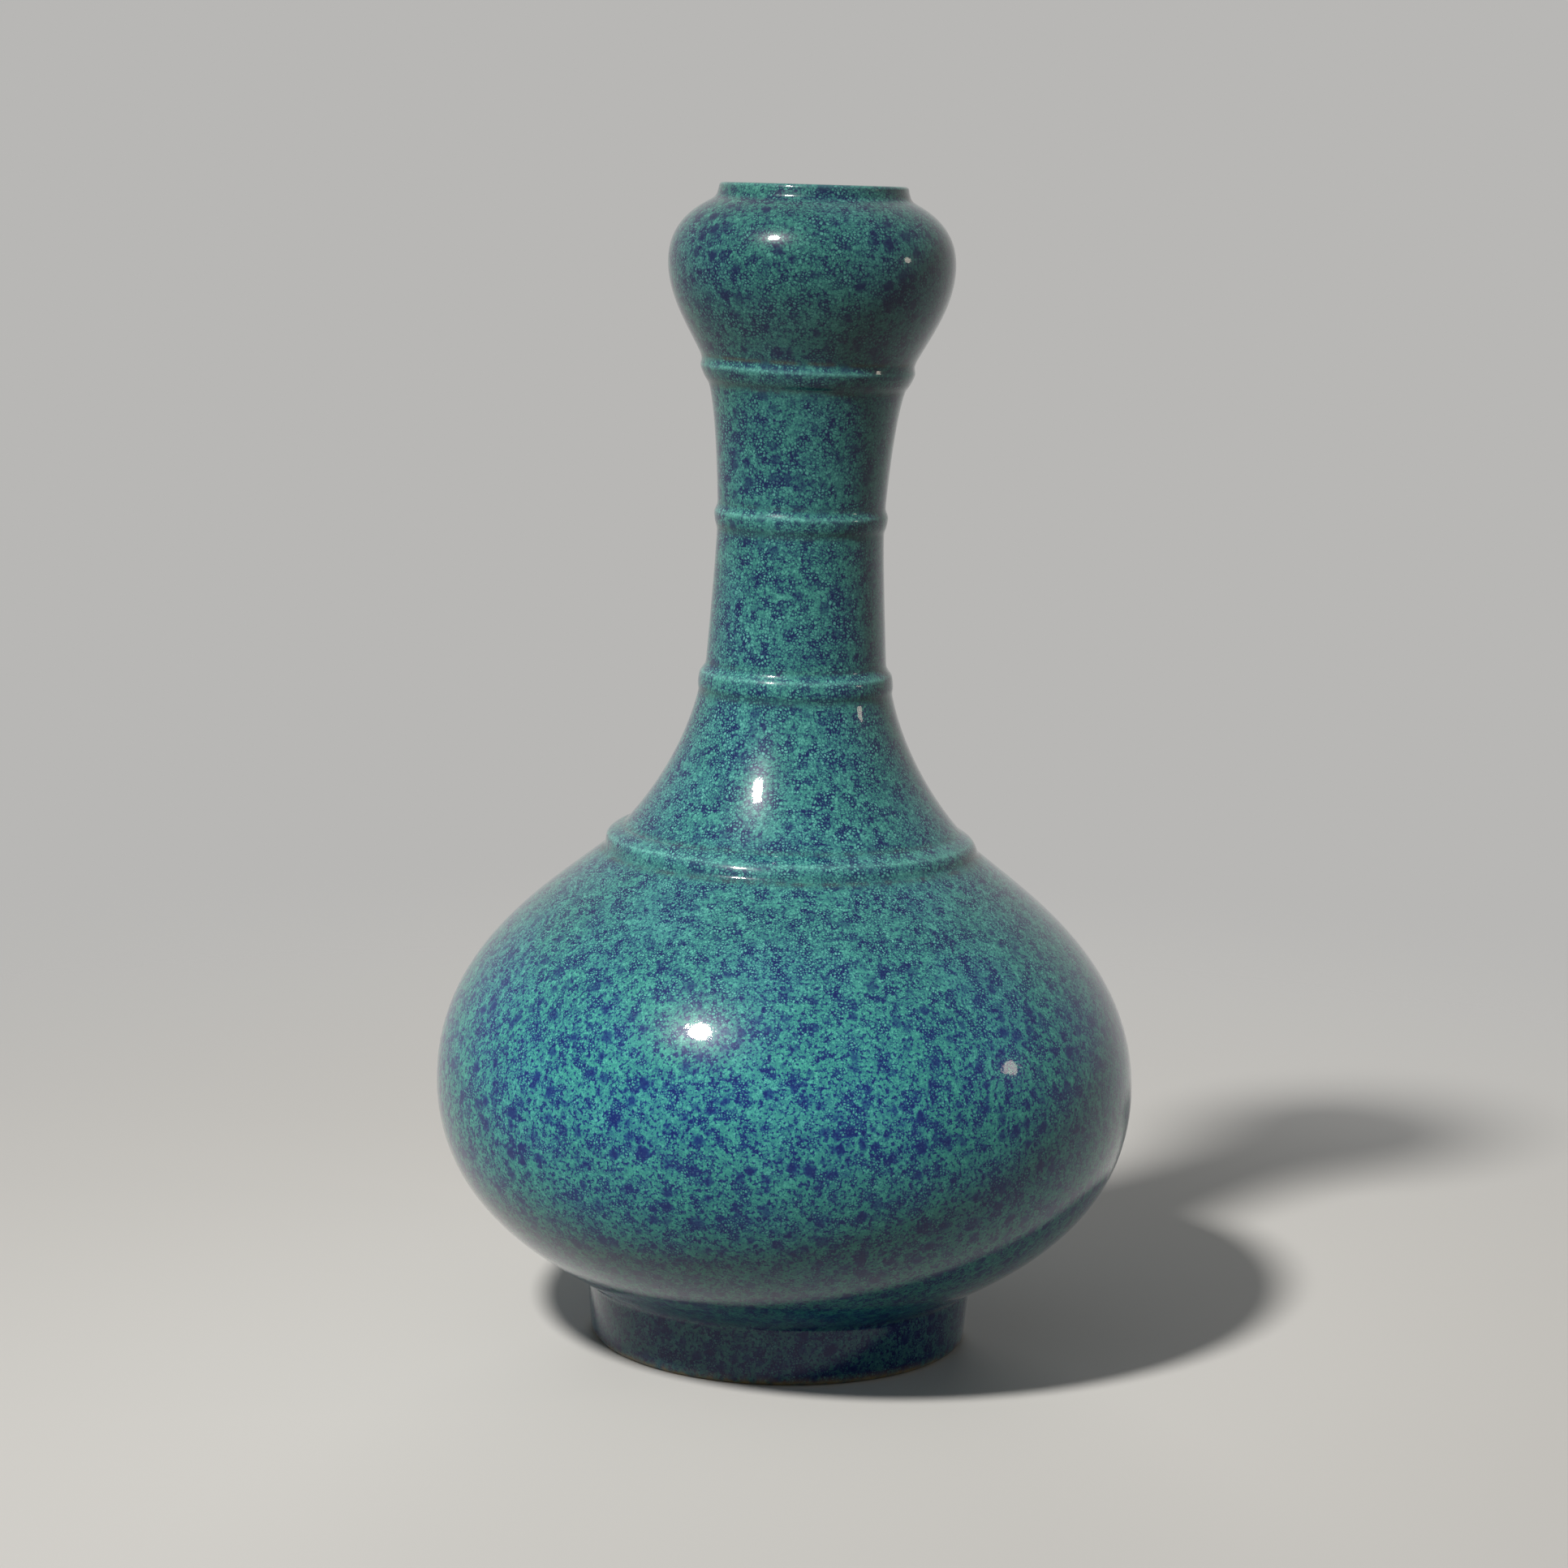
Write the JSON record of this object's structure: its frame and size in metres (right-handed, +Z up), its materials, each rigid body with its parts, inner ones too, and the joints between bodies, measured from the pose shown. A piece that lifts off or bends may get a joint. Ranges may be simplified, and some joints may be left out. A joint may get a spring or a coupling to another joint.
{
  "type": "garlic head vase",
  "caption": "Free-standing glazed ceramic vase with a round belly, long banded neck and garlic-shaped mouth, hollow and open at the top to hold stems.",
  "frame": {"origin": "centre of the foot ring on the surface that the vase stands on", "axes": "+Z up along the vase's axis, towards the mouth; +X and +Y are any two square directions, because the vase is round"},
  "size_m": [0.1694, 0.1694, 0.28],
  "materials": {
    "robins_egg_glaze": "high-gloss turquoise glaze densely mottled with cobalt flecks and fine bubble rings",
    "band_glaze": "the same gloss glaze, thinner and paler over raised bands and the lip",
    "foot_glaze": "the same gloss glaze, darker, over a bare ochre standing edge"
  },
  "bodies": {
    "root": {"foot_ring": "foot_glaze", "lower_body": "robins_egg_glaze", "upper_body": "robins_egg_glaze", "shoulder_band": "band_glaze", "lower_neck": "robins_egg_glaze", "lower_neck_band": "band_glaze", "middle_neck": "robins_egg_glaze", "middle_neck_band": "band_glaze", "upper_neck": "robins_egg_glaze", "upper_neck_band": "band_glaze", "garlic_bulb": "robins_egg_glaze", "mouth_rim": "band_glaze"}
  },
  "joints": []
}
